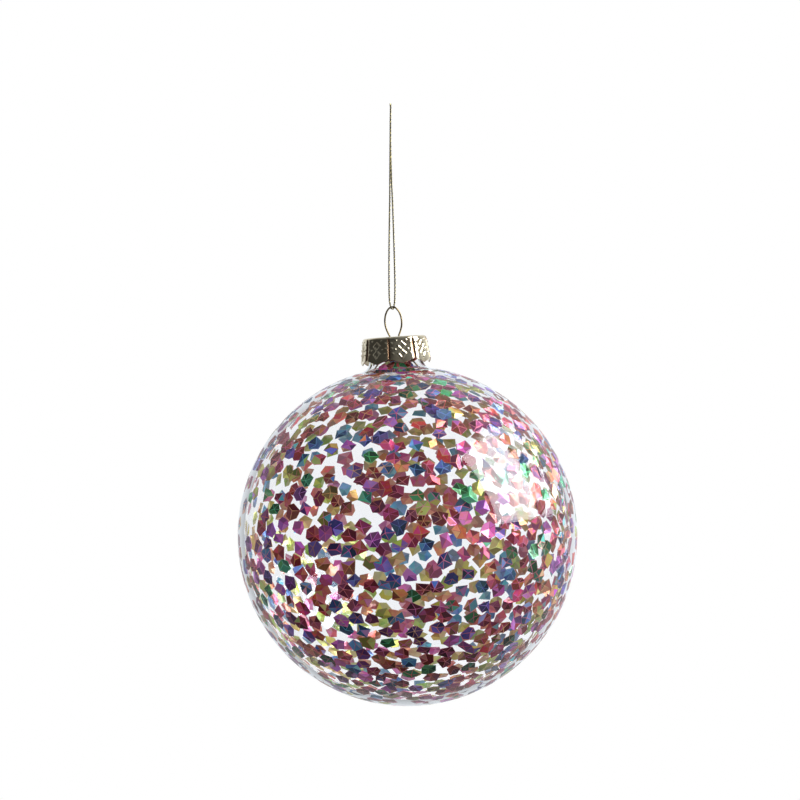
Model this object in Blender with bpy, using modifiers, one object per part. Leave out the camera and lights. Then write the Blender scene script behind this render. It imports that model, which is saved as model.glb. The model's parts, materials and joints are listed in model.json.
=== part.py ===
"""Glass ball ornament: a clear blown ball lined with faceted flakes, capped and hung on a thread loop.

Units are metres and +Z is up. The origin is the point that a hook carries: the inside of the thread
loop's upper bend. Everything else hangs below it. The ornament's own axis is vertical and stands a
little to the left of the origin, because the thread leans against it.

Moving pieces and their axes:
  wire_hanger   swings from side to side in the thread's lower bend (swing_pivot)
  ornament_cap  rocks back and forth on the two wires that pass through it (rock_pivot)
  glass_ball    pulls straight down off the cap and its sprung legs (ball_frame)
"""

import math
import random

import bmesh
import bpy
from mathutils import Matrix, Vector

MM = 0.001

# Driving dimensions ---------------------------------------------------------------------------------
BALL_RADIUS = 50.0 * MM
WALL = 1.0 * MM
NECK_RADIUS = 7.9 * MM
SHOULDER_RADIUS = 3.0 * MM          # the fillet between the ball and its neck
BALL_DROP = 127.0 * MM              # from the hanging point down to the ball's centre
AXIS_OFFSET = -3.4 * MM             # where the ornament's axis stands, along X

CAP_TOP = 58.75 * MM                # heights above the ball's centre
CAP_BASE = 51.4 * MM
LOOP_TOP = 67.65 * MM
CAP_TOP_RADIUS = 9.35 * MM
CAP_BASE_RADIUS = 10.3 * MM
CAP_SHEET = 0.3 * MM
CAP_PANELS = 8
PLEAT_DEPTH = 0.7 * MM
PANEL_POINT = 0.6 * MM              # how far each panel's lower edge dips at its middle
FIRST_PLEAT = math.radians(-101.0)  # about Z from +X; the front of the ornament is at -90 degrees

WIRE_RADIUS = 0.25 * MM
WIRE_SPACING = 2.6 * MM             # between the two wires where they pass through the cap
WIRE_HOLE_RADIUS = 0.6 * MM
LOOP_ARC_RADIUS = 1.5 * MM
THREAD_RADIUS = 0.28 * MM

GAP = 0.3 * MM                      # left between pieces that touch
FILM = 0.25 * MM
FLAKE_COUNT = 48
FLAKE_RADIUS = 2.2 * MM
FLAKE_SHEET = 0.2 * MM
FLAKE_DISH = 0.35 * MM              # how deep each flake is pressed
FLAKE_SEAT = 47.7 * MM              # from the ball's centre to a flake's rim plane

AROUND = 40                         # facets around the ball
GOLDEN_ANGLE = math.pi * (3.0 - math.sqrt(5.0))

BALL_CENTRE = Vector((AXIS_OFFSET, 0.0, -BALL_DROP))
SWING_PIVOT = BALL_CENTRE + Vector((0.0, 0.0, LOOP_TOP - LOOP_ARC_RADIUS))
ROCK_PIVOT = BALL_CENTRE + Vector((0.0, 0.0, CAP_TOP - CAP_SHEET / 2))

# The thread's route, in millimetres from the hanging point. It starts on the far strand at the sealed
# joint, goes up over the hook, down the near strand, under the wire and up again to the joint.
THREAD_ROUTE_MM = [
    (-0.78, 0.74, -11.85),
    (-0.33, 0.95, -5.0),
    (0.00, 1.10, -0.82),
    (0.00, 0.78, -0.04),
    (0.00, 0.00, 0.28),
    (0.00, -0.78, -0.04),
    (0.00, -1.10, -0.82),
    (-0.35, -0.95, -5.0),
    (-0.95, -0.70, -13.0),
    (-1.62, -0.55, -22.0),
    (-2.06, -0.50, -28.0),
    (-2.72, -0.50, -36.0),
    (-3.34, -0.50, -44.0),
    (-3.88, -0.58, -52.0),
    (-4.10, -0.76, -57.0),
    (-3.62, -0.87, -59.2),
    (-3.36, 0.00, -60.25),
    (-3.14, 0.87, -59.2),
    (-2.52, 0.76, -57.0),
    (-2.14, 0.58, -52.0),
    (-1.80, 0.50, -44.0),
    (-1.52, 0.50, -36.0),
    (-1.27, 0.50, -28.0),
    (-1.15, 0.55, -22.0),
    (-0.80, 0.74, -12.25),
]
THREAD_STEPS = 3

# The right half of the wire, in millimetres from the swing pivot, below the loop's top arc.
WIRE_SIDE_MM = [
    (1.74, 0.08),
    (2.12, -1.10),
    (2.30, -2.60),
    (2.22, -4.20),
    (1.82, -5.80),
    (1.42, -6.85),
    (1.30, -7.50),
    (1.42, -8.30),
    (1.95, -9.35),
    (3.30, -11.80),
    (4.85, -14.50),
    (6.38, -17.05),
]
WIRE_STEPS = 2

COLOURS = {
    "burgundy": (0.22, 0.03, 0.06),
    "plum": (0.16, 0.03, 0.14),
    "forest": (0.03, 0.13, 0.06),
    "navy": (0.03, 0.05, 0.20),
    "olive": (0.28, 0.30, 0.06),
    "copper": (0.45, 0.16, 0.05),
    "indigo": (0.12, 0.05, 0.30),
    "magenta": (0.45, 0.06, 0.25),
}


# Scene helpers --------------------------------------------------------------------------------------
def clear_scene():
    for thing in list(bpy.data.objects):
        bpy.data.objects.remove(thing, do_unlink=True)


def new_collection(name):
    collection = bpy.data.collections.new(name)
    bpy.context.scene.collection.children.link(collection)
    return collection


def new_material(name, colour, roughness, metallic, alpha=1.0):
    material = bpy.data.materials.new(name)
    material.use_nodes = True
    shader = material.node_tree.nodes["Principled BSDF"]
    shader.inputs["Base Color"].default_value = (*colour, 1.0)
    shader.inputs["Roughness"].default_value = roughness
    shader.inputs["Metallic"].default_value = metallic
    shader.inputs["Alpha"].default_value = alpha
    material.diffuse_color = (*colour, alpha)
    return material


def new_empty(name, place):
    empty = bpy.data.objects.new(name, None)
    empty.location = place
    empty.empty_display_size = 0.01
    PARTS.objects.link(empty)
    return empty


def new_part(name, data, material, parent=None):
    part = bpy.data.objects.new(name, data)
    part.data.materials.append(material)
    part.parent = parent
    PARTS.objects.link(part)
    return part


def mesh_from(bm, name):
    mesh = bpy.data.meshes.new(name)
    bm.to_mesh(mesh)
    bm.free()
    return mesh


# Shape helpers --------------------------------------------------------------------------------------
def arc(centre, radius, start, end, count):
    """Points (r, z) along an arc; angles in radians from +r towards +z."""
    step = (end - start) / (count - 1)
    angles = [start + step * i for i in range(count)]
    return [(centre[0] + radius * math.cos(a), centre[1] + radius * math.sin(a)) for a in angles]


def turned(name, profile, material, parent):
    """A closed turned body from a profile of (r, z) whose two ends lie on the axis or meet."""
    bm = bmesh.new()
    verts = [bm.verts.new((r, 0.0, z)) for r, z in profile]
    for a, b in zip(verts, verts[1:]):
        bm.edges.new((a, b))
    part = new_part(name, mesh_from(bm, name), material, parent)
    screw = part.modifiers.new("Turn", "SCREW")
    screw.steps = AROUND
    screw.render_steps = AROUND
    screw.use_merge_vertices = True
    screw.merge_threshold = 0.00001
    screw.use_smooth_shade = True
    return part


def catmull_rom(points, steps):
    """A smooth curve through every point, with a few steps in each span."""
    ends = [points[0] * 2 - points[1]] + points + [points[-1] * 2 - points[-2]]
    curve = []
    for p0, p1, p2, p3 in zip(ends, ends[1:], ends[2:], ends[3:]):
        for i in range(steps):
            t = i / steps
            a = p1 * 2
            b = (p2 - p0) * t
            c = (p0 * 2 - p1 * 5 + p2 * 4 - p3) * t ** 2
            d = (p1 * 3 - p0 - p2 * 3 + p3) * t ** 3
            curve.append((a + b + c + d) * 0.5)
    curve.append(points[-1])
    return curve


def tube(name, points, radius, material, parent=None):
    """A round wire or cord along a line of points."""
    curve = bpy.data.curves.new(name, "CURVE")
    curve.dimensions = "3D"
    curve.bevel_depth = radius
    curve.bevel_resolution = 2
    curve.use_fill_caps = True
    spline = curve.splines.new("POLY")
    spline.points.add(len(points) - 1)
    for target, point in zip(spline.points, points):
        target.co = (*point, 1.0)
    spline.use_smooth = True
    return new_part(name, curve, material, parent)


# The pieces -----------------------------------------------------------------------------------------
def ball_arc(radius, top):
    """One side of a ball, from its bottom pole past the widest point up to the angle top."""
    below = arc((0.0, 0.0), radius, -math.pi / 2, 0.0, 10)
    above = arc((0.0, 0.0), radius, 0.0, top, 8)
    below[0] = (0.0, -radius)
    return below + above[1:]


def wall_profile(inset, top):
    """One side of the ball's wall, from the bottom pole up to the height top in the neck.

    inset is how far inside the ball's outer surface this side lies.
    """
    ball = BALL_RADIUS - inset
    fillet = SHOULDER_RADIUS + inset
    fillet_r = NECK_RADIUS + SHOULDER_RADIUS
    reach = BALL_RADIUS + SHOULDER_RADIUS
    fillet_z = math.sqrt(reach ** 2 - fillet_r ** 2)
    shoulder = math.atan2(fillet_z, fillet_r)
    side = ball_arc(ball, shoulder)
    side += arc((fillet_r, fillet_z), fillet, shoulder + math.pi, math.pi, 4)[1:]
    side.append((NECK_RADIUS - inset, top))
    return side


def make_glass_ball(parent):
    rim = CAP_TOP - CAP_SHEET - GAP
    inner = wall_profile(WALL, rim - 0.25 * WALL)
    outer = wall_profile(0.0, rim - 0.25 * WALL)
    lip = [(NECK_RADIUS - 0.7 * WALL, rim), (NECK_RADIUS - 0.3 * WALL, rim)]
    glass = new_material("clear_glass", (0.93, 0.97, 0.98), 0.02, 0.0, 0.25)
    return turned("glass_ball", inner + lip + outer[::-1], glass, parent)


def make_adhesive_film(parent):
    """The coat of clear glue inside the glass, open under the neck like the ball itself."""
    outside = BALL_RADIUS - WALL - GAP
    top = math.radians(90.0 - 13.5)
    inner = ball_arc(outside - FILM, top)
    outer = ball_arc(outside, top)
    glue = new_material("clear_glue", (0.86, 0.90, 0.95), 0.25, 0.0, 0.3)
    return turned("adhesive_film", inner + outer[::-1], glue, parent)


def flake_mesh(name, rng):
    """An irregular pressed flake: a flat outline of 5 or 6 corners, dished to a small off-centre facet."""
    corners = rng.choice((5, 5, 6))
    bm = bmesh.new()
    bmesh.ops.create_circle(bm, cap_ends=True, segments=corners, radius=FLAKE_RADIUS)
    for vert in bm.verts:
        vert.co = vert.co * rng.uniform(0.74, 1.08)
    face = bm.faces[:][0]
    bmesh.ops.inset_individual(bm, faces=[face], thickness=0.3 * FLAKE_RADIUS)
    drift = Vector((rng.uniform(-0.2, 0.2), rng.uniform(-0.2, 0.2), 0.0)) * FLAKE_RADIUS
    for vert in face.verts:
        vert.co = vert.co * 0.3 + drift - Vector((0.0, 0.0, FLAKE_DISH))
    if face.normal.z < 0.0:
        bmesh.ops.reverse_faces(bm, faces=bm.faces[:])
    return mesh_from(bm, name)


def make_flakes(parent):
    """A spread of separate flakes stuck to the film, all over the ball below its shoulder."""
    rng = random.Random(11)
    names = list(COLOURS)
    highest = math.cos(math.radians(22.0))
    lowest = -0.985
    for i in range(FLAKE_COUNT):
        height = highest + (lowest - highest) * i / (FLAKE_COUNT - 1)
        across = math.sqrt(1.0 - height ** 2)
        turn = i * GOLDEN_ANGLE
        outward = Vector((across * math.cos(turn), across * math.sin(turn), height))
        name = f"flake_{i + 1:02d}"
        colour = names[rng.randrange(len(names))]
        foil = new_material(f"foil_{colour}_{i + 1:02d}", COLOURS[colour], 0.2, 0.9)
        flake = new_part(name, flake_mesh(name, rng), foil, parent)
        spin = Matrix.Rotation(rng.uniform(0.0, math.tau), 3, "Z")
        flake.rotation_euler = (outward.to_track_quat("Z", "Y").to_matrix() @ spin).to_euler()
        flake.location = outward * FLAKE_SEAT
        sheet = flake.modifiers.new("Sheet", "SOLIDIFY")
        sheet.thickness = FLAKE_SHEET
        sheet.offset = -1.0


def cap_skin():
    """The stamped cap's outer skin about the rock pivot: a plate and a flared skirt in pleated panels."""
    pivot = CAP_TOP - CAP_SHEET / 2
    height = CAP_TOP - CAP_BASE
    disc = 4.0 * MM
    profile = [(disc, CAP_TOP), (CAP_TOP_RADIUS - 0.7 * MM, CAP_TOP)]
    profile.append((CAP_TOP_RADIUS - 0.2 * MM, CAP_TOP - 0.12 * MM))
    rows = 6
    for i in range(rows):
        down = 0.06 + 0.94 * i / (rows - 1)
        radius = CAP_TOP_RADIUS + (CAP_BASE_RADIUS - CAP_TOP_RADIUS) * down ** 1.3
        profile.append((radius, CAP_TOP - height * down))
    bm = bmesh.new()
    line = [bm.verts.new((r, 0.0, z - pivot)) for r, z in profile]
    edges = [bm.edges.new(pair) for pair in zip(line, line[1:])]
    columns = CAP_PANELS * 8
    bmesh.ops.rotate(bm, verts=line, cent=(0, 0, 0), matrix=Matrix.Rotation(FIRST_PLEAT, 3, "Z"))
    bmesh.ops.spin(bm, geom=line + edges, cent=(0, 0, 0), axis=(0, 0, 1), angle=math.tau, steps=columns)
    bmesh.ops.remove_doubles(bm, verts=bm.verts[:], dist=0.01 * MM)
    middle = [edge for edge in bm.edges if edge.is_boundary and edge.verts[0].co.xy.length < disc * 1.1]
    bmesh.ops.holes_fill(bm, edges=middle, sides=columns)
    bmesh.ops.recalc_face_normals(bm, faces=bm.faces[:])
    plate = max(bm.faces, key=lambda face: len(face.verts))
    if plate.normal.z < 0.0:
        bmesh.ops.reverse_faces(bm, faces=bm.faces[:])
    return bm


def pleat_panels(bm):
    """Folds a narrow V between neighbouring panels and gives each panel's lower edge its point."""
    pivot = CAP_TOP - CAP_SHEET / 2
    height = CAP_TOP - CAP_BASE
    panel = math.tau / CAP_PANELS
    for vert in bm.verts:
        down = (CAP_TOP - pivot - vert.co.z) / height
        if down < 0.03:
            continue
        turn = (math.atan2(vert.co.y, vert.co.x) - FIRST_PLEAT) % panel
        from_pleat = min(turn, panel - turn) / (panel / 2)
        fold = max(0.0, 1.0 - from_pleat * 4.0) * min(1.0, down * 6.0)
        radius = vert.co.xy.length - PLEAT_DEPTH * fold
        vert.co.xy = vert.co.xy.normalized() * radius
        vert.co.z -= PANEL_POINT * from_pleat * down ** 2


def wire_hole_cutter(name, side, parent):
    bm = bmesh.new()
    bmesh.ops.create_cone(
        bm, cap_ends=True, segments=16, depth=4 * CAP_SHEET,
        radius1=WIRE_HOLE_RADIUS, radius2=WIRE_HOLE_RADIUS,
    )
    cutter = bpy.data.objects.new(name, mesh_from(bm, name))
    cutter.parent = parent
    cutter.location = (side * WIRE_SPACING / 2, 0.0, 0.0)
    cutter.hide_render = True
    cutter.display_type = "WIRE"
    CUTTERS.objects.link(cutter)
    return cutter


def make_ornament_cap(parent):
    bm = cap_skin()
    pleat_panels(bm)
    gold = new_material("stamped_gold", (0.78, 0.66, 0.36), 0.18, 1.0)
    cap = new_part("ornament_cap", mesh_from(bm, "ornament_cap"), gold, parent)
    cap.data.shade_smooth()
    cap.data.set_sharp_from_angle(angle=math.radians(25.0))
    sheet = cap.modifiers.new("Sheet", "SOLIDIFY")
    sheet.thickness = CAP_SHEET
    sheet.offset = -1.0
    sheet.use_even_offset = True
    for name, side in (("left_wire_hole", -1), ("right_wire_hole", 1)):
        cut = cap.modifiers.new(name, "BOOLEAN")
        cut.operation = "DIFFERENCE"
        cut.object = wire_hole_cutter(name, side, parent)
    return cap


def make_wire_hanger(parent):
    """One bent wire: an oval loop above the cap and two legs that spring apart inside the neck."""
    right = [Vector((x * MM, 0.0, z * MM)) for x, z in WIRE_SIDE_MM]
    top = arc((0.0, 0.0), LOOP_ARC_RADIUS, math.radians(140.0), math.radians(40.0), 5)
    crown = [Vector((x, 0.0, z)) for x, z in top]
    left = [Vector((-p.x, 0.0, p.z)) for p in reversed(right)]
    steel = new_material("gilt_wire", (0.36, 0.29, 0.13), 0.28, 1.0)
    return tube("wire_hanger", catmull_rom(left + crown + right, WIRE_STEPS), WIRE_RADIUS, steel, parent)


def make_hanging_thread():
    """One loop of thread; its two sealed ends face each other across a small gap on the far strand."""
    route = [Vector(point) * MM for point in THREAD_ROUTE_MM]
    yarn = new_material("metallic_thread", (0.42, 0.34, 0.14), 0.45, 0.6)
    return tube("hanging_thread", catmull_rom(route, THREAD_STEPS), THREAD_RADIUS, yarn)


clear_scene()
PARTS = new_collection("glass_ball_ornament")
CUTTERS = new_collection("cutters")

swing_pivot = new_empty("swing_pivot", SWING_PIVOT)
rock_pivot = new_empty("rock_pivot", ROCK_PIVOT)
ball_frame = new_empty("ball_frame", BALL_CENTRE)

make_hanging_thread()
make_wire_hanger(swing_pivot)
make_ornament_cap(rock_pivot)
make_glass_ball(ball_frame)
make_adhesive_film(ball_frame)
make_flakes(ball_frame)
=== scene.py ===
"""Looks of the glass ball ornament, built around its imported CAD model. Metres, +Z up."""
import colorsys
import json
import math
import random

import bmesh
import bpy
from mathutils import Matrix, Vector, noise


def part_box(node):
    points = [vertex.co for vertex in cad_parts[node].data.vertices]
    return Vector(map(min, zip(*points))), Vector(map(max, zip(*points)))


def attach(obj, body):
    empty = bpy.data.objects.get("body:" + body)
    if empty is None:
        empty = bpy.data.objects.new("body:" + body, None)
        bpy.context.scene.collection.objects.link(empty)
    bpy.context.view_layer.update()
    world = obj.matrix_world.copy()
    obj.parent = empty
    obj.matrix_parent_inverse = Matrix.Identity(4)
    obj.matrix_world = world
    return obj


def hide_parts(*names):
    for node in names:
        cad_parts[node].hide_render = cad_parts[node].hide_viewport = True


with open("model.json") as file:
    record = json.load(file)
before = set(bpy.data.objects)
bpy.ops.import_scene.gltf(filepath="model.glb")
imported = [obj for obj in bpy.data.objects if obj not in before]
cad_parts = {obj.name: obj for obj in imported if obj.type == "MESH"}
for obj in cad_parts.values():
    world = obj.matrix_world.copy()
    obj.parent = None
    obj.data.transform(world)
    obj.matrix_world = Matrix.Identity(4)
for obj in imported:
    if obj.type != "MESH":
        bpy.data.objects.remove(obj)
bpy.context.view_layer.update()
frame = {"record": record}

MM = 0.001

# Sizes that part.py also holds ----------------------------------------------------------------------
WALL = 1.0 * MM
NECK_RADIUS = 7.9 * MM
SHOULDER_RADIUS = 3.0 * MM
CAP_TOP = 58.75 * MM                # heights above the ball's centre
CAP_BASE = 51.4 * MM
LOOP_TOP = 67.65 * MM
CAP_TOP_RADIUS = 9.35 * MM
CAP_BASE_RADIUS = 10.3 * MM
CAP_SHEET = 0.3 * MM
CAP_PANELS = 8
PANEL_POINT = 0.6 * MM
FIRST_PLEAT = math.radians(-101.0)
WIRE_RADIUS = 0.25 * MM
WIRE_SPACING = 2.6 * MM
WIRE_HOLE_RADIUS = 0.6 * MM
LOOP_ARC_RADIUS = 1.5 * MM
THREAD_RADIUS = 0.28 * MM
GAP = 0.3 * MM
FLAKE_SEAT = 47.7 * MM
FLAKE_RADIUS = 2.2 * MM

THREAD_ROUTE_MM = [
    (-0.78, 0.74, -11.85),
    (-0.33, 0.95, -5.0),
    (0.00, 1.10, -0.82),
    (0.00, 0.78, -0.04),
    (0.00, 0.00, 0.28),
    (0.00, -0.78, -0.04),
    (0.00, -1.10, -0.82),
    (-0.35, -0.95, -5.0),
    (-0.95, -0.70, -13.0),
    (-1.62, -0.55, -22.0),
    (-2.06, -0.50, -28.0),
    (-2.72, -0.50, -36.0),
    (-3.34, -0.50, -44.0),
    (-3.88, -0.58, -52.0),
    (-4.10, -0.76, -57.0),
    (-3.92, -0.80, -59.0),
    (-3.76, -0.52, -59.75),
    (-3.38, 0.00, -60.02),
    (-3.02, 0.52, -59.75),
    (-2.84, 0.80, -59.0),
    (-2.52, 0.76, -57.0),
    (-2.14, 0.58, -52.0),
    (-1.80, 0.50, -44.0),
    (-1.52, 0.50, -36.0),
    (-1.27, 0.50, -28.0),
    (-1.15, 0.55, -22.0),
    (-0.80, 0.74, -12.25),
]
WIRE_SIDE_MM = [
    (1.78, 0.10),
    (2.24, -1.10),
    (2.46, -2.60),
    (2.36, -4.20),
    (1.88, -5.80),
    (1.42, -6.85),
    (1.30, -7.50),
    (1.42, -8.30),
    (1.95, -9.35),
    (3.30, -11.80),
    (4.85, -14.50),
    (6.38, -17.05),
]

# Places from the frame ------------------------------------------------------------------------------
BALL_LOW, BALL_HIGH = (Vector(corner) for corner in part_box("glass_ball"))
BALL_RADIUS = (BALL_HIGH.x - BALL_LOW.x) / 2
BALL_CENTRE = Vector(((BALL_LOW.x + BALL_HIGH.x) / 2, 0.0, BALL_LOW.z + BALL_RADIUS))
SWING_PIVOT = BALL_CENTRE + Vector((0.0, 0.0, LOOP_TOP - LOOP_ARC_RADIUS))

# The view -------------------------------------------------------------------------------------------
CAMERA_DISTANCE = 1.4
FIELD_WIDTH = 0.2357                # what the picture spans across, at the ornament
ORNAMENT_TILT = math.radians(3.8)   # how far the ornament leans to the left in the picture
AIM = BALL_CENTRE + Vector((0.00045, 0.0, 0.04013))


def link(obj):
    bpy.context.scene.collection.objects.link(obj)
    return obj


def make_camera():
    data = bpy.data.cameras.new("camera")
    data.sensor_width = 36.0
    data.lens = data.sensor_width * CAMERA_DISTANCE / FIELD_WIDTH
    data.clip_start = 0.05
    camera = link(bpy.data.objects.new("camera", data))
    up = Vector((math.sin(ORNAMENT_TILT), 0.0, math.cos(ORNAMENT_TILT)))
    back = Vector((0.0, -1.0, 0.0))
    right = up.cross(back)
    turn = Matrix((right, up, back)).transposed()
    camera.matrix_world = Matrix.Translation(AIM + back * CAMERA_DISTANCE) @ turn.to_4x4()
    bpy.context.scene.camera = camera


# Node helpers ---------------------------------------------------------------------------------------
MIX_COLOURS = (6, 7)                # the numbers of a Mix node's colour inputs and colour output
MIX_RESULT = 2


class Tree:
    """A short way to write a node tree: add a node, set its inputs, join two sockets."""

    def __init__(self, owner):
        owner.use_nodes = True
        self.tree = owner.node_tree
        self.tree.nodes.clear()

    def add(self, kind, **settings):
        node = self.tree.nodes.new(kind)
        for key, value in settings.items():
            setattr(node, key, value)
        return node

    def set(self, node, **values):
        for key, value in values.items():
            node.inputs[key.replace("_", " ")].default_value = value
        return node

    def join(self, source, target):
        self.tree.links.new(source, target)

    def math(self, operation, a, b):
        """Works on two values, each a number or a socket; returns the socket of the result."""
        node = self.add("ShaderNodeMath", operation=operation)
        for slot, value in enumerate((a, b)):
            if isinstance(value, (int, float)):
                node.inputs[slot].default_value = value
            else:
                self.join(value, node.inputs[slot])
        return node.outputs[0]

    def output(self, shader):
        self.join(shader, self.add("ShaderNodeOutputMaterial").inputs["Surface"])

    def noise_texture(self, place, scale, detail):
        """A noise texture in the object's own space; returns the socket of its value."""
        texture = self.set(self.add("ShaderNodeTexNoise"), Scale=scale, Detail=detail)
        self.join(place.outputs["Object"], texture.inputs["Vector"])
        return texture.outputs["Fac"]

    def bump(self, height, strength, distance):
        node = self.set(self.add("ShaderNodeBump"), Strength=strength, Distance=distance)
        self.join(height, node.inputs["Height"])
        return node.outputs[0]

    def spread(self, value, low, high, lowest=0.3, highest=0.7):
        """Maps a value from lowest..highest, the usual reach of a noise texture, to low..high."""
        node = self.add("ShaderNodeMapRange")
        self.set(node, From_Min=lowest, From_Max=highest, To_Min=low, To_Max=high)
        self.join(value, node.inputs["Value"])
        return node.outputs[0]

    def blend(self, share, colour, other):
        """One colour at share 0 and the other at share 1; returns the socket of the mixed colour."""
        node = self.add("ShaderNodeMix", data_type="RGBA")
        node.inputs[MIX_COLOURS[0]].default_value = (*colour, 1.0)
        node.inputs[MIX_COLOURS[1]].default_value = (*other, 1.0)
        self.join(share, node.inputs[0])
        return node.outputs[MIX_RESULT]

    def choose(self, share, shader, other):
        """One shader at share 0 and the other at share 1; returns the socket of the mixed shader."""
        node = self.add("ShaderNodeMixShader")
        self.join(share, node.inputs[0])
        self.join(shader, node.inputs[1])
        self.join(other, node.inputs[2])
        return node.outputs[0]


def new_material(name):
    material = bpy.data.materials.new(name)
    return material, Tree(material)


# Light ----------------------------------------------------------------------------------------------
KEY_DIRECTION = (0.876, -0.177, 0.449)
FILL_DIRECTION = (-0.45, -0.85, 0.25)
RIGHT_SIDE_LIGHT = 0.3              # what the studio's right side adds to its brightness


def make_world():
    """A studio that looks plain white and lights the ornament from behind, above and the right."""
    world = bpy.data.worlds.new("studio")
    bpy.context.scene.world = world
    t = Tree(world)
    coordinate = t.add("ShaderNodeTexCoord")
    axes = t.add("ShaderNodeSeparateXYZ")
    t.join(coordinate.outputs["Generated"], axes.inputs[0])
    behind = t.add("ShaderNodeMapRange", interpolation_type="SMOOTHSTEP")
    t.set(behind, From_Min=0.05, From_Max=0.9, To_Min=0.06, To_Max=0.95)
    t.join(axes.outputs["Y"], behind.inputs["Value"])
    above = t.add("ShaderNodeMapRange", interpolation_type="SMOOTHSTEP")
    t.set(above, From_Min=0.2, From_Max=1.0, To_Min=0.0, To_Max=0.2)
    t.join(axes.outputs["Z"], above.inputs["Value"])
    side = t.math("MULTIPLY", t.math("MAXIMUM", axes.outputs["X"], 0.0), RIGHT_SIDE_LIGHT)
    level = t.math("ADD", t.math("ADD", behind.outputs[0], above.outputs[0]), side)
    studio = t.set(t.add("ShaderNodeBackground"), Color=(1.0, 1.0, 1.0, 1.0))
    t.join(level, studio.inputs["Strength"])
    white = t.set(t.add("ShaderNodeBackground"), Color=(1.0, 1.0, 1.0, 1.0), Strength=1.0)
    rays = t.add("ShaderNodeLightPath")
    seen = t.math("MAXIMUM", rays.outputs["Is Camera Ray"], rays.outputs["Is Transmission Ray"])
    output = t.add("ShaderNodeOutputWorld")
    t.join(t.choose(seen, studio.outputs[0], white.outputs[0]), output.inputs["Surface"])


def make_softbox(name, toward, distance, width, height, watts):
    """A rectangular soft light that faces the ball from the direction toward."""
    data = bpy.data.lights.new(name, "AREA")
    data.shape = "RECTANGLE"
    data.size = width
    data.size_y = height
    data.energy = watts
    light = link(bpy.data.objects.new(name, data))
    direction = Vector(toward).normalized()
    light.location = BALL_CENTRE + direction * distance
    light.rotation_euler = direction.to_track_quat("Z", "Y").to_euler()
    light.visible_camera = False
    return light


def make_lights():
    """A key softbox with a brighter sheen in it, whose reflection is the highlight, and a soft fill."""
    make_softbox("key_softbox", KEY_DIRECTION, distance=0.60, width=0.40, height=0.50, watts=4.8)
    fill = make_softbox("fill_softbox", FILL_DIRECTION, distance=0.80, width=0.70, height=0.70, watts=4.2)
    fill.visible_glossy = False
    sheen = make_softbox("sheen_softbox", KEY_DIRECTION, distance=0.61, width=0.38, height=0.48, watts=2.2)
    sheen.visible_diffuse = False


FLOOR_SIZE = 6.0
FLOOR_HEIGHT = -0.50                # the ornament hangs, so the floor is well below it


def make_floor():
    bpy.ops.mesh.primitive_plane_add(size=FLOOR_SIZE, location=(0.0, 0.0, FLOOR_HEIGHT))
    floor = bpy.context.object
    floor.name = "floor"
    material, t = new_material("pale_floor")
    diffuse = t.set(t.add("ShaderNodeBsdfDiffuse"), Color=(0.85, 0.85, 0.85, 1.0))
    glow = t.set(t.add("ShaderNodeEmission"), Color=(1.0, 1.0, 1.0, 1.0), Strength=0.75)
    total = t.add("ShaderNodeAddShader")
    t.join(diffuse.outputs[0], total.inputs[0])
    t.join(glow.outputs[0], total.inputs[1])
    t.output(total.outputs[0])
    floor.data.materials.append(material)
    floor.visible_glossy = False
    floor.visible_diffuse = False


# Shape helpers --------------------------------------------------------------------------------------
def arc(centre, radius, start, end, count):
    step = (end - start) / (count - 1)
    angles = [start + step * i for i in range(count)]
    return [(centre[0] + radius * math.cos(a), centre[1] + radius * math.sin(a)) for a in angles]


def catmull_rom(points, steps):
    ends = [points[0] * 2 - points[1]] + points + [points[-1] * 2 - points[-2]]
    curve = []
    for p0, p1, p2, p3 in zip(ends, ends[1:], ends[2:], ends[3:]):
        for i in range(steps):
            t = i / steps
            a = p1 * 2
            b = (p2 - p0) * t
            c = (p0 * 2 - p1 * 5 + p2 * 4 - p3) * t ** 2
            d = (p1 * 3 - p0 - p2 * 3 + p3) * t ** 3
            curve.append((a + b + c + d) * 0.5)
    curve.append(points[-1])
    return curve


def new_piece(name, mesh, material, body, replaced=()):
    piece = link(bpy.data.objects.new(name, mesh))
    piece.data.materials.append(material)
    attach(piece, body)
    if replaced:
        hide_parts(*replaced)
    return piece


def turned_mesh(name, profile, around):
    """A closed turned body about the ball's axis; the profile's two ends lie on the axis."""
    bm = bmesh.new()
    line = [bm.verts.new((r, 0.0, z)) for r, z in profile]
    edges = [bm.edges.new(pair) for pair in zip(line, line[1:])]
    bmesh.ops.spin(bm, geom=line + edges, cent=(0, 0, 0), axis=(0, 0, 1), angle=math.tau, steps=around)
    bmesh.ops.remove_doubles(bm, verts=bm.verts[:], dist=0.002 * MM)
    bmesh.ops.recalc_face_normals(bm, faces=bm.faces[:])
    bmesh.ops.translate(bm, verts=bm.verts[:], vec=BALL_CENTRE)
    mesh = bpy.data.meshes.new(name)
    bm.to_mesh(mesh)
    bm.free()
    mesh.shade_smooth()
    return mesh


# Glass and glue -------------------------------------------------------------------------------------
def wall_profile(inset):
    """The wall's line from the ball's bottom up its side and round the fillet to the neck's foot."""
    ball = BALL_RADIUS - inset
    fillet = SHOULDER_RADIUS + inset
    fillet_r = NECK_RADIUS + SHOULDER_RADIUS
    reach = BALL_RADIUS + SHOULDER_RADIUS
    fillet_z = math.sqrt(reach ** 2 - fillet_r ** 2)
    shoulder = math.atan2(fillet_z, fillet_r)
    side = arc((0.0, 0.0), ball, -math.pi / 2, shoulder, BALL_ROWS)
    side[0] = (0.0, -ball)
    side += arc((fillet_r, fillet_z), fillet, shoulder + math.pi, math.pi, FILLET_ROWS)[1:]
    return side


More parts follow.
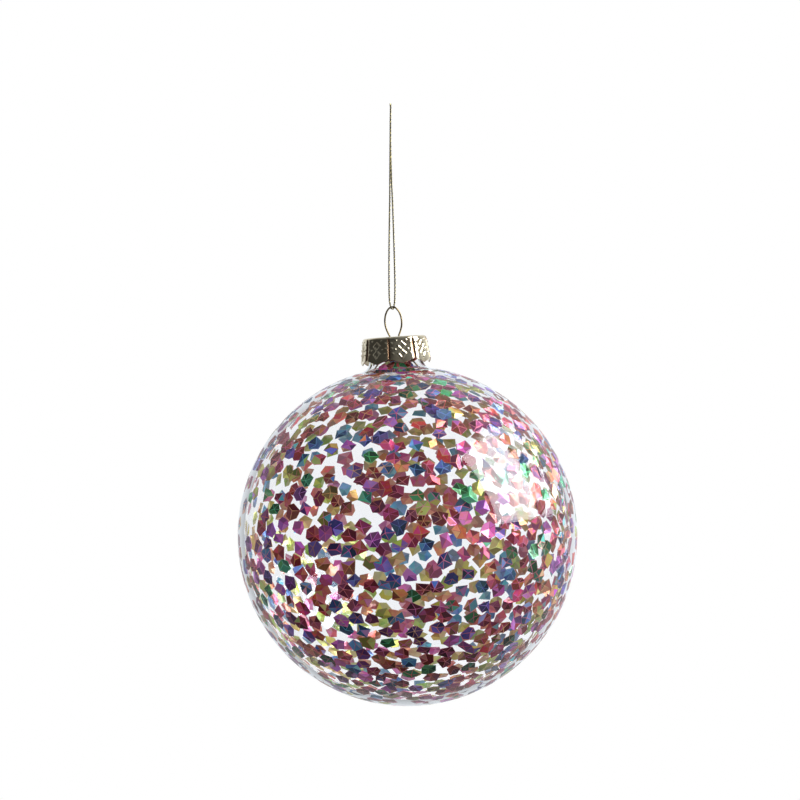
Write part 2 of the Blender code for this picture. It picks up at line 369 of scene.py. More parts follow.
COAT_TOP = math.radians(90.0 - 13.5)  # how high the glue reaches, about the ball's centre
COAT = 0.9 * MM                     # the glue's depth, which the flakes are set in
COAT_CLEARANCE = 0.01 * MM          # between the glass and the glue, too thin to see
TOUCH_BAND = 0.3                    # share of a wall's thickness within which a face counts as touching
GLASS_TINT = (0.987, 0.992, 1.0)
GLOSS_TINT = (0.92, 0.96, 1.0)
GLASS_IOR = 1.5
TOTAL_STEEPNESS = 20.0              # how sharply mirroring rises to total reflection near Fresnel 1

# Points on the turned profiles, and steps around the axis
BALL_ROWS = 90
FILLET_ROWS = 14
LIP_ROWS = 9
COAT_ROWS = 60
GLASS_AROUND = 160
COAT_AROUND = 120


def add_through(t, surface):
    """Ends a clear material's tree: lamps and the light between other surfaces go straight through."""
    clear = t.set(t.add("ShaderNodeBsdfTransparent"), Color=(*GLASS_TINT, 1.0))
    rays = t.add("ShaderNodeLightPath")
    lit = t.math("MAXIMUM", rays.outputs["Is Shadow Ray"], rays.outputs["Is Diffuse Ray"])
    mirrored = t.math("SUBTRACT", rays.outputs["Is Glossy Ray"], rays.outputs["Is Transmission Ray"])
    through = t.math("MAXIMUM", lit, mirrored)
    t.output(t.choose(through, surface, clear.outputs[0]))


def bending_material(name, mirror, least, roughness, wave_scale, wave_height):
    """A clear surface that bends light as it goes in or out and mirrors more of it towards the limb.

    The share it mirrors is a part of the Fresnel share, mirror, added to a least share. From inside,
    where Fresnel reaches 1, nothing can get out and the whole of the light is mirrored.
    """
    material, t = new_material(name)
    place = t.add("ShaderNodeTexCoord")
    waves = t.noise_texture(place, scale=wave_scale, detail=2.0)
    bent = t.add("ShaderNodeBsdfRefraction")
    t.set(bent, Color=(*GLASS_TINT, 1.0), IOR=GLASS_IOR, Roughness=0.0)
    gloss = t.add("ShaderNodeBsdfGlossy")
    t.set(gloss, Color=(*GLOSS_TINT, 1.0), Roughness=roughness)
    t.join(t.bump(waves, strength=1.0, distance=wave_height), gloss.inputs["Normal"])
    fresnel = t.set(t.add("ShaderNodeFresnel"), IOR=GLASS_IOR)
    faint = t.math("ADD", t.math("MULTIPLY", fresnel.outputs[0], mirror), least)
    steep = t.math("MULTIPLY", fresnel.outputs[0], TOTAL_STEEPNESS)
    total = t.math("SUBTRACT", steep, TOTAL_STEEPNESS - 1.0)
    add_through(t, t.choose(t.math("MAXIMUM", faint, total), bent.outputs[0], gloss.outputs[0]))
    return material


def contact_material():
    """Where glass and glue touch: nothing bends or mirrors light there."""
    material, t = new_material("glass_on_glue")
    clear = t.set(t.add("ShaderNodeBsdfTransparent"), Color=(1.0, 1.0, 1.0, 1.0))
    t.output(clear.outputs[0])
    return material


def touching_faces(piece, contact, nearest, farthest):
    """Gives the contact material to the faces whose middles lie between two distances from the centre."""
    piece.data.materials.append(contact)
    for face in piece.data.polygons:
        middle = face.center - BALL_CENTRE
        under_coat = middle.z < middle.length * math.sin(COAT_TOP)
        if under_coat and nearest < middle.length < farthest:
            face.material_index = 1


def make_glass(contact):
    rim = CAP_TOP - CAP_SHEET - GAP
    inner = wall_profile(WALL)
    outer = wall_profile(0.0)
    lip = arc((NECK_RADIUS - WALL / 2, rim - WALL / 2), WALL / 2, math.pi, 0.0, LIP_ROWS)
    mesh = turned_mesh("blown_glass", inner + lip + outer[::-1], GLASS_AROUND)
    clear = bending_material(
        "blown_glass", mirror=0.50, least=0.014, roughness=0.0, wave_scale=55.0, wave_height=0.00003,
    )
    glass = new_piece("blown_glass", mesh, clear, "ball", ["glass_ball"])
    inside = BALL_RADIUS - WALL
    touching_faces(glass, contact, inside - TOUCH_BAND * WALL, inside + TOUCH_BAND * WALL)


def make_glue(contact):
    outside = BALL_RADIUS - WALL - COAT_CLEARANCE
    inner = arc((0.0, 0.0), outside - COAT, -math.pi / 2, COAT_TOP, COAT_ROWS)
    outer = arc((0.0, 0.0), outside, -math.pi / 2, COAT_TOP, COAT_ROWS)
    inner[0] = (0.0, -(outside - COAT))
    outer[0] = (0.0, -outside)
    mesh = turned_mesh("glue_coat", inner + outer[::-1], COAT_AROUND)
    dried = bending_material(
        "dried_glue", mirror=0.25, least=0.006, roughness=0.05, wave_scale=160.0, wave_height=0.00006,
    )
    glue = new_piece("glue_coat", mesh, dried, "ball", ["adhesive_film"])
    touching_faces(glue, contact, outside - TOUCH_BAND * COAT, outside + TOUCH_BAND * COAT)


# Flakes ---------------------------------------------------------------------------------------------
# colour: (hue, saturation, value, share of all flakes, material slot)
FOILS = {
    "burgundy": (0.980, 0.76, 0.56, 0.25, "foil_burgundy"),
    "wine": (0.945, 0.66, 0.52, 0.12, "foil_burgundy"),
    "plum": (0.820, 0.58, 0.52, 0.10, "foil_plum"),
    "copper": (0.030, 0.68, 0.60, 0.12, "foil_copper"),
    "olive": (0.150, 0.60, 0.58, 0.08, "foil_olive"),
    "forest": (0.400, 0.58, 0.42, 0.09, "foil_forest"),
    "navy": (0.605, 0.60, 0.50, 0.14, "foil_navy"),
    "indigo": (0.715, 0.58, 0.54, 0.08, "foil_indigo"),
    "magenta": (0.885, 0.66, 0.74, 0.02, "foil_magenta"),
}
# Hues of the painted glints: facets painted bright and pale, standing in for facets that flash reflected
# light
PAINTED_GLINT_HUES = (0.02, 0.07, 0.11, 0.14, 0.20, 0.45, 0.52, 0.60, 0.66, 0.75, 0.82, 0.93)
# Hues of the flakes' inner sides, painted pale: painted backlight standing in for light shining through
# the thin foil
BACKLIT_INNER_HUES = (0.03, 0.06, 0.10, 0.14, 0.18, 0.22, 0.95, 0.90, 0.60, 0.56)
# Hues of the ridge lines and flake edges, painted lighter: a painted highlight where the embossed ridges
# would catch the light
RIDGE_HIGHLIGHT_HUES = (0.95, 0.97, 0.99, 0.02, 0.06, 0.90, 0.08, 0.94)
PAINTED_GLINT_SHARE = 0.06                  # facets painted bright and pale in another colour: a painted glint
FLAKE_TOTAL = 1270
MOST_TRIES = 40000
LEAST_SPACING = 3.3 * MM
CLUMPS_PER_RADIUS = 3.0
CLUMPING = 0.35
CROWN_HEIGHT = 0.82                 # above this share of the radius the flakes lie close together
CROWN_SHARE = 0.95
NECK_CLEARING = math.radians(10.5)  # no flakes within this angle of the axis
FLAKE_LEAN = 0.06
CAD_FLAKE_LIFT = 0.9 * MM           # how far a flake's highest point lies outside its seat
LEAST_LIFT_MM = 0.7
MOST_LIFT_MM = 1.1
FOIL = 0.12 * MM
RIDGE = 0.13 * MM
MOST_BEND = 0.95 * MM               # how far a flat facet's corner may rise or fall
SHOULDER_SCALE = 0.8
SHOULDER_ROWS = (                   # degrees of slope on the curve up to the neck, degrees round the axis
    (55.0, (-128, -111, -94, -77, -60, 52, 70, 88, 106, 124)),
    (24.0, (-122, -101, -84, -63, 58, 79, 100, 121)),
)
DISPLAY_GAMMA = 2.2


def hsv(h, s, v):
    """Linear RGBA from hue, saturation and value."""
    rgb = colorsys.hsv_to_rgb(h % 1.0, min(1.0, max(0.0, s)), min(1.0, max(0.0, v)))
    return (*(channel ** DISPLAY_GAMMA for channel in rgb), 1.0)


def foil_material():
    """Pressed iridescent foil: every facet's colour is in the mesh, the surface detail is here."""
    material, t = new_material("pressed_foil")
    colour = t.add("ShaderNodeAttribute", attribute_name="foil")
    place = t.add("ShaderNodeTexCoord")
    grain = t.noise_texture(place, scale=900.0, detail=2.0)
    shade = t.add("ShaderNodeHueSaturation")
    t.join(colour.outputs["Color"], shade.inputs["Color"])
    t.join(t.spread(grain, 0.475, 0.525), shade.inputs["Hue"])
    foil = t.add("ShaderNodeBsdfPrincipled")
    t.set(foil, Metallic=0.4, Specular_IOR_Level=0.45, Coat_Weight=0.08, Coat_Roughness=0.08)
    t.set(foil, Specular_Tint=(0.80, 0.74, 0.72, 1.0))
    t.join(shade.outputs[0], foil.inputs["Base Color"])
    t.join(t.spread(grain, 0.12, 0.26), foil.inputs["Roughness"])
    t.join(t.bump(grain, strength=0.3, distance=0.02 * MM), foil.inputs["Normal"])
    t.output(foil.outputs[0])
    return material


def flake_outline(rng):
    """Four to six corners of an irregular flake, in turn."""
    corners = rng.choice((5, 5, 5, 6, 6, 4))
    squash = rng.uniform(0.82, 1.0)
    spin = rng.uniform(0.0, math.tau)
    size = FLAKE_RADIUS * rng.uniform(1.06, 1.32)
    points = []
    for i in range(corners):
        angle = math.tau * (i + rng.uniform(-0.24, 0.24)) / corners + spin
        radius = size * rng.uniform(0.80, 1.10)
        points.append(Vector((radius * math.cos(angle), squash * radius * math.sin(angle), 0.0)))
    return points


def flake_facets(rng, points):
    """A low pyramid of flat facets, whose ridges run from an off-centre peak to some of the corners."""
    count = len(points)
    ridges = sorted(rng.sample(range(count), 3 if rng.random() < 0.65 else 4))
    peak = Vector((rng.uniform(-0.5, 0.5), rng.uniform(-0.5, 0.5), 0.0)) * (0.5 * FLAKE_RADIUS)
    peak.z = rng.uniform(0.22, 0.42) * MM * rng.choice((1, -1))
    facets = []
    for first, last in zip(ridges, ridges[1:] + ridges[:1]):
        run = [first]
        while run[-1] != last:
            run.append((run[-1] + 1) % count)
        normal = (points[first] - peak).cross(points[last] - peak)
        slope_x = normal.x / normal.z
        slope_y = normal.y / normal.z
        middle = [points[i] for i in run[1:-1]]
        heights = [peak.z - slope_x * (p.x - peak.x) - slope_y * (p.y - peak.y) for p in middle]
        if all(abs(z) < MOST_BEND for z in heights):
            for p, z in zip(middle, heights):
                p.z = z
            facets.append(run)
        else:
            facets += [list(pair) for pair in zip(run, run[1:])]
    return peak, facets


def paint(layer, face, colour):
    for loop in face.loops:
        loop[layer] = colour


def facet_tone(rng, hue, saturation, value):
    """One facet's colour: near the flake's own, or now and then a painted glint, a bright pale facet of
    another hue.
    """
    # A few facets are painted as bright, pale glints of another hue: a painted highlight
    if rng.random() < PAINTED_GLINT_SHARE:
        glint_hue = rng.choice(PAINTED_GLINT_HUES) + rng.uniform(-0.02, 0.02)
        return hsv(glint_hue, rng.uniform(0.25, 0.62), rng.uniform(0.65, 0.98))
    hue += rng.uniform(-0.04, 0.04)
    saturation *= rng.uniform(0.62, 0.92)
    return hsv(hue, saturation, value * rng.uniform(0.65, 1.35))


def add_flake(bm, rng, foil, place, lift):
    """One flake: coloured outer facets, thin ridge lines and an edge painted lighter as a painted
    highlight, and an inner side painted pale as painted backlight shining through the foil.
    """
    layer = bm.loops.layers.float_color["foil"]
    hue, saturation, value = FOILS[foil][:3]
    hue += rng.uniform(-0.03, 0.03)
    value *= rng.uniform(0.75, 1.30)
    # The ridge lines and the edge get a lighter colour: a painted highlight of light caught by the ridges
    ridge_highlight_hue = rng.choice(RIDGE_HIGHLIGHT_HUES) if rng.random() < 0.6 else hue + rng.uniform(-0.05, 0.05)
    ridge_highlight = hsv(ridge_highlight_hue, rng.uniform(0.38, 0.60), rng.uniform(0.65, 0.95))
    # The inner side is painted pale: painted backlight that stands in for light through the translucent
    # foil
    backlit_hue = rng.choice(BACKLIT_INNER_HUES)
    points = flake_outline(rng)
    peak, facets = flake_facets(rng, points)
    up = Vector((0.0, 0.0, lift - max([p.z for p in points] + [peak.z])))
    down = up - Vector((0.0, 0.0, FOIL))
    front = [bm.verts.new(place @ (p + up)) for p in points]
    back = [bm.verts.new(place @ (p + down)) for p in points]
    top = bm.verts.new(place @ (peak + up))
    bottom = bm.verts.new(place @ (peak + down))
    outside = []
    for run in facets:
        tone = facet_tone(rng, hue, saturation, value)
        face = bm.faces.new([top] + [front[i] for i in run])
        paint(layer, face, tone)
        face.normal_update()
        outside.append(face)
        # Each inner facet is painted a pale pastel, the painted backlight
        painted_backlight = hsv(backlit_hue + rng.uniform(-0.03, 0.03), rng.uniform(0.25, 0.55), rng.uniform(0.75, 1.0))
        paint(layer, bm.faces.new([bottom] + [back[i] for i in reversed(run)]), painted_backlight)
    # The flake's edge faces get the same lighter colour, a painted highlight
    for i, j in zip(range(len(points)), list(range(1, len(points))) + [0]):
        paint(layer, bm.faces.new((front[j], front[i], back[i], back[j])), ridge_highlight)
    # Inset strips round each facet lie flat with it and are painted in the lighter ridge colour, a painted
    # highlight
    strips = bmesh.ops.inset_individual(bm, faces=outside, thickness=RIDGE)["faces"]
    for strip in strips:
        paint(layer, strip, ridge_highlight)


def flake_share(direction):
    """The share of tried places that get a flake: less towards the top and the left, most at the neck."""
    if direction.z > CROWN_HEIGHT:
        return CROWN_SHARE
    return 0.56 - 0.22 * direction.z + 0.22 * direction.x


def scatter(rng, taken):
    """Directions from the ball's centre, evenly random, apart from each other and from those taken."""
    least = math.cos(LEAST_SPACING / FLAKE_SEAT)
    size = 1.05 * LEAST_SPACING / FLAKE_SEAT
    cells = {}

    def cell(v):
        return (math.floor(v.x / size), math.floor(v.y / size), math.floor(v.z / size))

    for v in taken:
        cells.setdefault(cell(v), []).append(v)
    found = []
    for _ in range(MOST_TRIES):
        if len(found) + len(taken) >= FLAKE_TOTAL:
            break
        z = rng.uniform(-1.0, math.cos(NECK_CLEARING))
        turn = rng.uniform(0.0, math.tau)
        across = math.sqrt(1.0 - z * z)
        v = Vector((across * math.cos(turn), across * math.sin(turn), z))
        if rng.random() > flake_share(v) + CLUMPING * noise.noise(v * CLUMPS_PER_RADIUS):
            continue
        x, y, z = cell(v)
        beside = [(x + i, y + j, z + k) for i in (-1, 0, 1) for j in (-1, 0, 1) for k in (-1, 0, 1)]
        if any(u.dot(v) > least for key in beside for u in cells.get(key, ())):
            continue
        cells.setdefault((x, y, z), []).append(v)
        found.append(v)
    return found


def flake_place(rng, outward):
    """Where a flake lies: flat against the glue, leaning a little, its corners turned at random."""
    lean = Vector((rng.uniform(-1, 1), rng.uniform(-1, 1), rng.uniform(-1, 1))) * FLAKE_LEAN
    turn = (outward + lean).to_track_quat("Z", "Y").to_matrix().to_4x4()
    return Matrix.Translation(BALL_CENTRE + outward * FLAKE_SEAT) @ turn


def shoulder_places(rng):
    """Where the flakes lie that stick to the curve between the ball and its neck, front and back."""
    middle = Vector((NECK_RADIUS + SHOULDER_RADIUS, 0.0, 0.0))
    reach = BALL_RADIUS + SHOULDER_RADIUS
    middle.z = math.sqrt(reach ** 2 - middle.x ** 2)
    off_wall = SHOULDER_RADIUS + WALL + 0.45 * MM
    shrink = Matrix.Scale(SHOULDER_SCALE, 4)
    places = []
    for azimuth, slope in [(azimuth, slope) for slope, row in SHOULDER_ROWS for azimuth in row]:
        slope = math.radians(slope + rng.uniform(-10.0, 10.0))
        toward = Vector((math.cos(slope), 0.0, math.sin(slope)))
        spin = Matrix.Rotation(math.radians(azimuth + rng.uniform(-4.0, 4.0)), 4, "Z")
        point = spin @ (middle - toward * off_wall)
        turn = (spin @ toward).to_track_quat("Z", "Y").to_matrix().to_4x4()
        places.append(Matrix.Translation(BALL_CENTRE + point) @ turn @ shrink)
    return places


def new_flake_mesh():
    bm = bmesh.new()
    bm.loops.layers.float_color.new("foil")
    return bm


def to_mesh(bm, name):
    mesh = bpy.data.meshes.new(name)
    bm.to_mesh(mesh)
    bm.free()
    return mesh


def make_cad_flakes(rng, foil):
    """A pressed flake in place of each one in the CAD; returns the directions they lie in."""
    taken = []
    slots = {part["node"]: part["material_slot"] for part in frame["record"]["subparts"]}
    for name in sorted(slots):
        if not name.startswith("flake_"):
            continue
        low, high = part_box(name)
        outward = ((Vector(low) + Vector(high)) / 2 - BALL_CENTRE).normalized()
        taken.append(outward)
        colour = slots[name].removeprefix("foil_")
        bm = new_flake_mesh()
        add_flake(bm, rng, colour, flake_place(rng, outward), CAD_FLAKE_LIFT)
        new_piece(f"pressed_{name}", to_mesh(bm, name), foil, "ball", [name])
    return taken


def make_other_flakes(rng, foil, taken):
    """All the further flakes, one piece for each foil colour."""
    names = list(FOILS)
    shares = [FOILS[name][3] for name in names]
    meshes = {name: new_flake_mesh() for name in names}
    for outward in scatter(rng, taken):
        name = rng.choices(names, shares)[0]
        place = flake_place(rng, outward)
        add_flake(meshes[name], rng, name, place, rng.uniform(LEAST_LIFT_MM, MOST_LIFT_MM) * MM)
    for place in shoulder_places(rng):
        name = rng.choices(names, shares)[0]
        add_flake(meshes[name], rng, name, place, 0.0)
    for name, bm in meshes.items():
        mesh = to_mesh(bm, f"{name}_flakes")
        new_piece(f"{name}_flakes", mesh, foil, "ball")


def make_flakes():
    rng = random.Random(2027)
    foil = foil_material()
    make_other_flakes(rng, foil, make_cad_flakes(rng, foil))


# Wire and thread ------------------------------------------------------------------------------------
END_DISC = 0.15                     # share of a tube's radius at the flat middle of its domed ends
WIRE_STEP = 0.12 * MM
WIRE_AROUND = 18
WIRE_SMOOTH_STEPS = 16              # points of the smooth curve between two given places
THREAD_STEP = 0.1 * MM
THREAD_SMOOTH_STEPS = 24


def resample(points, spacing):
    """Points evenly spaced along a polyline."""
    total = sum((b - a).length for a, b in zip(points, points[1:]))
    count = max(2, round(total / spacing))
    step = total / count
    even = [points[0]]
    walked = 0.0
    for a, b in zip(points, points[1:]):
        length = (b - a).length
        while len(even) < count and len(even) * step <= walked + length:
            even.append(a.lerp(b, (len(even) * step - walked) / length))
        walked += length
    even.append(points[-1])
    return even


def frames_along(points):
    """(place, side, up) at each point of a path, carried along without twisting."""
    side = Vector((0.0, 1.0, 0.0))
    frames = []
    for i, point in enumerate(points):
        ahead = (points[min(i + 1, len(points) - 1)] - points[max(i - 1, 0)]).normalized()
        side = (side - ahead * side.dot(ahead)).normalized()
        frames.append((point, side, ahead.cross(side)))
    return frames


def add_tube(bm, centres, sides, radius, around, layer=None, stripe=None):
    """A round tube with domed ends; stripe(ring, column) gives each face's value for the layer."""
    rings = []
    for i, (centre, (side, up)) in enumerate(zip(centres, sides)):
        from_end = min((centre - centres[0]).length, (centre - centres[-1]).length)
        dome = min(1.0, from_end / radius)
        size = radius * math.sqrt(max(0.0, 1.0 - (1.0 - dome) ** 2))
        if i in (0, len(centres) - 1):
            size = END_DISC * radius
        ring = []
        for k in range(around):
            angle = math.tau * k / around
            ring.append(bm.verts.new(centre + (side * math.cos(angle) + up * math.sin(angle)) * size))
        rings.append(ring)
    for i, (one, two) in enumerate(zip(rings, rings[1:])):
        for k in range(around):
            n = (k + 1) % around
            face = bm.faces.new((one[k], one[n], two[n], two[k]))
            face.smooth = True
            if layer:
                value = stripe(i, k)
                for loop in face.loops:
                    loop[layer] = (value, value, value, 1.0)
    bm.faces.new(list(reversed(rings[0])))
    bm.faces.new(rings[-1])


def metal_material(name, colour, dark, roughness, grain_scale, bump_height, tarnish):
    """Gilt metal with fine scratches, tarnish in patches and an uneven polish."""
    material, t = new_material(name)
    place = t.add("ShaderNodeTexCoord")
    patches = t.noise_texture(place, scale=grain_scale * 0.15, detail=4.0)
    grain = t.noise_texture(place, scale=grain_scale, detail=3.0)
    worn = t.spread(patches, 0.0, tarnish, lowest=0.45, highest=0.75)
    metal = t.set(t.add("ShaderNodeBsdfPrincipled"), Metallic=1.0)
    t.join(t.blend(worn, colour, dark), metal.inputs["Base Color"])
    t.join(t.spread(grain, roughness * 0.7, roughness * 1.5), metal.inputs["Roughness"])
    t.join(t.bump(grain, strength=0.4, distance=bump_height), metal.inputs["Normal"])
    t.output(metal.outputs[0])
    return material


def make_wire():
    right = [Vector((x * MM, 0.0, z * MM)) for x, z in WIRE_SIDE_MM]
    top = arc((0.0, 0.0), LOOP_ARC_RADIUS, math.radians(140.0), math.radians(40.0), 5)
    crown = [Vector((x, 0.0, z)) for x, z in top]
    left = [Vector((-p.x, 0.0, p.z)) for p in reversed(right)]
    curve = catmull_rom(left + crown + right, WIRE_SMOOTH_STEPS)
    path = resample([SWING_PIVOT + p for p in curve], WIRE_STEP)
    frames = frames_along(path)
    bm = bmesh.new()
    add_tube(bm, path, [(side, up) for _, side, up in frames], WIRE_RADIUS, WIRE_AROUND)
    gilt = metal_material(
        "gilt_wire", colour=(0.22, 0.17, 0.08), dark=(0.10, 0.07, 0.035), roughness=0.26,
        grain_scale=2600.0, bump_height=0.00003, tarnish=0.8,
    )
    new_piece("bent_wire", to_mesh(bm, "bent_wire"), gilt, "hanger", ["wire_hanger"])


THREAD_TWIST = 1.15 * MM            # length of one turn of the two plies
PLIES = (                           # radius, distance from the middle, and strip columns in ten
    (0.160 * MM, 0.120 * MM, 1),
    (0.125 * MM, 0.150 * MM, 9),
)
PLY_AROUND = 10
JOIN_AROUND = 16
JOIN_STEPS = 12                     # rings across the gap between the thread's ends
JOIN_OVERLAP = 4                    # further rings over each end
JOIN_SWELLING = 1.15                # how much thicker than the thread its fused join is
DARK_YARN = (0.032, 0.025, 0.010)
GOLD_STRIP = (0.62, 0.54, 0.24)


def thread_material():
    """Dark yarn wrapped in a narrow metallic strip; the strip's turns are in the mesh."""
    material, t = new_material("metallic_thread")
    strip = t.add("ShaderNodeAttribute", attribute_name="strip")
    place = t.add("ShaderNodeTexCoord")
    fibres = t.noise_texture(place, scale=4200.0, detail=3.0)
    shade = t.add("ShaderNodeHueSaturation")
    t.join(t.blend(strip.outputs["Fac"], DARK_YARN, GOLD_STRIP), shade.inputs["Color"])
    t.join(t.spread(fibres, 0.75, 1.25), shade.inputs["Value"])
    yarn = t.add("ShaderNodeBsdfPrincipled")
    t.join(shade.outputs[0], yarn.inputs["Base Color"])
    t.join(t.math("MULTIPLY", strip.outputs["Fac"], 0.9), yarn.inputs["Metallic"])
    polish = t.spread(strip.outputs["Fac"], 0.75, 0.28, lowest=0.0, highest=1.0)
    t.join(polish, yarn.inputs["Roughness"])
    t.join(t.bump(fibres, strength=0.6, distance=0.03 * MM), yarn.inputs["Normal"])
    t.output(yarn.outputs[0])
    return material


def twisted_line(frames, spacing, offset, first_turn):
    """Centres and side directions of a ply that winds round a path at a distance from it."""
    centres = []
    sides = []
    for i, (point, side, up) in enumerate(frames):
        turn = math.tau * i * spacing / THREAD_TWIST + first_turn
        out = side * math.cos(turn) + up * math.sin(turn)
        centres.append(point + out * offset)
        sides.append((out, side * -math.sin(turn) + up * math.cos(turn)))
    return centres, sides


def make_thread():
    route = [Vector(point) * MM for point in THREAD_ROUTE_MM]
    path = resample(catmull_rom(route, THREAD_SMOOTH_STEPS), THREAD_STEP)
    frames = frames_along(path)
    spacing = (path[1] - path[0]).length
    bm = bmesh.new()
    layer = bm.loops.layers.float_color.new("strip")
    for ply, (radius, offset, strips) in enumerate(PLIES):
        centres, sides = twisted_line(frames, spacing, offset, math.pi * ply)
        add_tube(
            bm, centres, sides, radius, PLY_AROUND, layer,
            lambda ring, column: float((ring + 2 * column) % PLY_AROUND < strips),
        )
    rings = range(-JOIN_OVERLAP, JOIN_STEPS + JOIN_OVERLAP + 1)
    join = [path[-1].lerp(path[0], ring / JOIN_STEPS) for ring in rings]
    swelling = [(side, up) for _, side, up in frames_along(join)]
    add_tube(
        bm, join, swelling, JOIN_SWELLING * THREAD_RADIUS, JOIN_AROUND, layer,
        lambda ring, column: 0.0,
    )
    thread = new_piece(
        "twisted_thread", to_mesh(bm, "twisted_thread"), thread_material(), "thread",
        ["hanging_thread"],
    )


# Cap ------------------------------------------------------------------------------------------------
PANEL_COLUMNS = 40
PLEAT_COLUMNS = 2                   # how many columns beside a pleat get the darker, rougher copper-coloured metal
SKIRT_ROWS = 46
STAMP_DEPTH = 0.22 * MM
CREASE_DEPTH = 0.5 * MM
PLEAT_LIFT = 0.85 * MM              # how far the lower edge rises from a panel's point to a pleat
PANEL_FLATTENING = 0.12 * MM        # how far a panel's middle lies inside the round
EDGE_RIPPLE = 0.05 * MM
HOLE_POINTS = 28
CREASE_NARROWNESS = 6.0             # the crease takes up one part in so many beside a pleat
FADE_IN = 5.0                       # creases and flats grow over one part in so many of the skirt
PATTERN_SPAN = (0.08, 0.93)         # the stamped pattern's share of the skirt, from the top
SKIRT_START = 0.06
SKIRT_FLARE = 1.3

# The stamped pattern, in millimetres on a panel
DIAMONDS = (2.6, 4.9)
DIAMOND_REACH = 1.42
DIAMOND_LINE = 0.78                 # share of the reach where the line is highest
DIAMOND_LINE_WIDTH = 0.22
DOTS = ((2.85, 1.9), (2.85, 3.5), (1.85, 3.75), (2.65, 5.1), (1.5, 1.1))
DOT_RADIUS = 0.30
STAMP_CRISPNESS = 1.6

PLATE_DISC = 4.0 * MM
PLATE_EDGE_MM = (                   # radius and depth, from the flat plate over its rolled edge
    (6.0, 0.0),
    (7.9, -0.04),
    (8.4, -0.05),
    (8.8, 0.0),
    (9.05, 0.10),
    (9.22, 0.26),
)


def stamp_height(across, down):
    """Height of the stamped pattern, 0 to 1, at a place on a panel given in millimetres."""
    height = 0.0
    for middle in DIAMONDS:
        reach = (abs(across) + abs(down - middle)) / DIAMOND_REACH
        height = max(height, 1.0 - abs(reach - DIAMOND_LINE) / DIAMOND_LINE_WIDTH)
    for x, z in DOTS:
        dot = math.hypot(abs(across) - x, down - z)
        height = max(height, 1.0 - dot / DOT_RADIUS)
    return max(0.0, min(1.0, height * STAMP_CRISPNESS))


def cap_point(turn, radius, down):
    """A point of the cap's outside: turn about the axis, radius there, distance below the top."""
    panel = math.tau / CAP_PANELS
    share = down / (CAP_TOP - CAP_BASE)
    grown = min(1.0, share * FADE_IN)
    within = (turn - FIRST_PLEAT) % panel
    from_pleat = min(within, panel - within) / (panel / 2)
    fold = max(0.0, 1.0 - from_pleat * CREASE_NARROWNESS) ** 1.5 * grown
    across = (within - panel / 2) * radius / MM
    stamped = 0.0
    if PATTERN_SPAN[0] < share < PATTERN_SPAN[1]:
        stamped = stamp_height(across, down / MM) * STAMP_DEPTH
    flat = PANEL_FLATTENING * math.cos(math.pi * from_pleat) * grown
    radius += flat + stamped - CREASE_DEPTH * fold
    drop = (PANEL_POINT * from_pleat - PLEAT_LIFT * (1.0 - from_pleat)) * share ** 2
    ripple = EDGE_RIPPLE * math.sin(3.0 * turn + 1.0) * share
    return Vector((radius * math.cos(turn), radius * math.sin(turn), CAP_TOP - down - drop - ripple))


def cap_profile():
    """Radius and depth of the cap's outside, from the flat plate over its edge and down the skirt."""
    profile = [(PLATE_DISC, 0.0)]
    profile += [(radius * MM, down * MM) for radius, down in PLATE_EDGE_MM]
    for i in range(SKIRT_ROWS):
        share = SKIRT_START + (1.0 - SKIRT_START) * i / (SKIRT_ROWS - 1)
        radius = CAP_TOP_RADIUS + (CAP_BASE_RADIUS - CAP_TOP_RADIUS) * share ** SKIRT_FLARE
        profile.append((radius, (CAP_TOP - CAP_BASE) * share))
    return profile


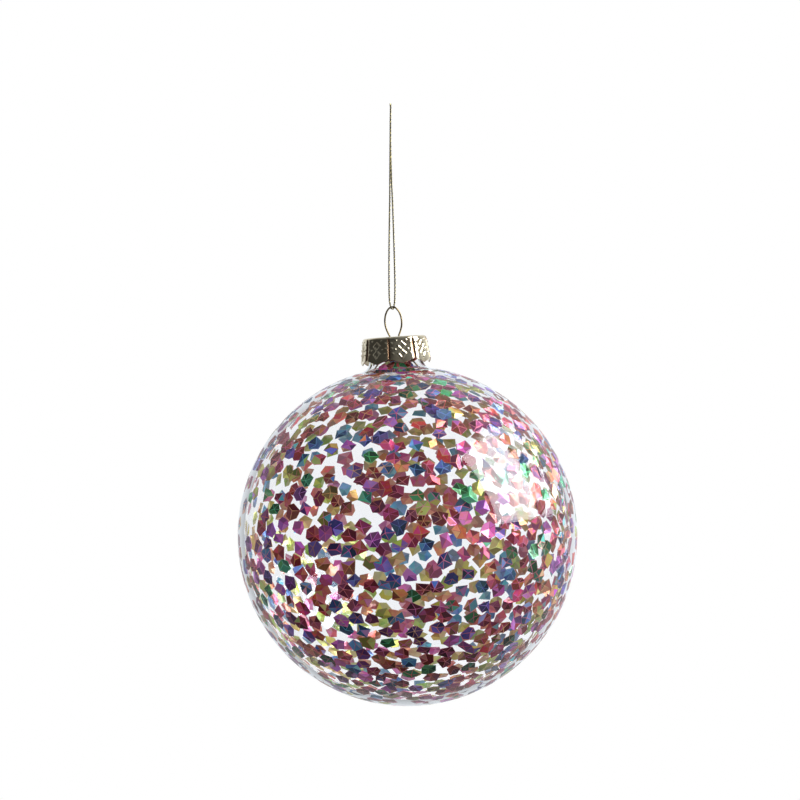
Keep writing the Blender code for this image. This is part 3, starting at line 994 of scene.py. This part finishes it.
def add_skirt(bm):
    """The edge and the pleated skirt; returns the inmost ring, which the flat plate fills."""
    columns = CAP_PANELS * PANEL_COLUMNS
    turns = [FIRST_PLEAT + math.tau * c / columns for c in range(columns)]
    grid = []
    for radius, down in cap_profile():
        grid.append([bm.verts.new(cap_point(turn, radius, down)) for turn in turns])
    skirt = grid[-SKIRT_ROWS:]
    for upper, lower in zip(grid, grid[1:]):
        for c in range(columns):
            n = (c + 1) % columns
            face = bm.faces.new((upper[c], lower[c], lower[n], upper[n]))
            face.smooth = True
            # The columns beside each pleat, over its crease, get the second material: darker, rougher,
            # copper-coloured metal
            if upper in skirt and min(c % PANEL_COLUMNS, -n % PANEL_COLUMNS) < PLEAT_COLUMNS:
                face.material_index = 1
    return grid[0]


def add_plate(bm, ring):
    """The flat plate inside a ring, with the two holes the wire passes through."""
    rims = [bm.edges.get(pair) for pair in zip(ring, ring[1:] + ring[:1])]
    for side in (-1, 1):
        hole = []
        for k in range(HOLE_POINTS):
            angle = math.tau * k / HOLE_POINTS
            x = side * WIRE_SPACING / 2 + WIRE_HOLE_RADIUS * math.cos(angle)
            hole.append(bm.verts.new((x, WIRE_HOLE_RADIUS * math.sin(angle), CAP_TOP)))
        rims += [bm.edges.new(pair) for pair in zip(hole, hole[1:] + hole[:1])]
    plate = bmesh.ops.triangle_fill(bm, use_beauty=True, edges=rims, normal=(0, 0, 1))
    for face in plate["geom"]:
        if isinstance(face, bmesh.types.BMFace) and face.normal.z < 0.0:
            face.normal_flip()


def make_cap():
    bm = bmesh.new()
    add_plate(bm, add_skirt(bm))
    bmesh.ops.recalc_face_normals(bm, faces=bm.faces[:])
    bmesh.ops.translate(bm, verts=bm.verts[:], vec=BALL_CENTRE)
    gold = metal_material(
        "stamped_gold", colour=(0.66, 0.61, 0.46), dark=(0.36, 0.25, 0.14), roughness=0.07,
        grain_scale=1500.0, bump_height=0.00003, tarnish=0.6,
    )
    copper = metal_material(
        "pleat_copper", colour=(0.42, 0.26, 0.16), dark=(0.20, 0.11, 0.06), roughness=0.22,
        grain_scale=1500.0, bump_height=0.00003, tarnish=0.6,
    )
    mesh = to_mesh(bm, "stamped_cap")
    cap = new_piece("stamped_cap", mesh, gold, "cap", ["ornament_cap"])
    cap.data.materials.append(copper)
    sheet = cap.modifiers.new("sheet", "SOLIDIFY")
    sheet.thickness = CAP_SHEET
    sheet.offset = -1.0


make_camera()
scene = bpy.context.scene
scene.view_settings.view_transform = "Standard"
scene.cycles.transparent_max_bounces = 32
scene.cycles.max_bounces = 16
make_world()
make_lights()
make_floor()
make_thread()
make_wire()
make_cap()
glass_on_glue = contact_material()
make_glass(glass_on_glue)
make_glue(glass_on_glue)
make_flakes()
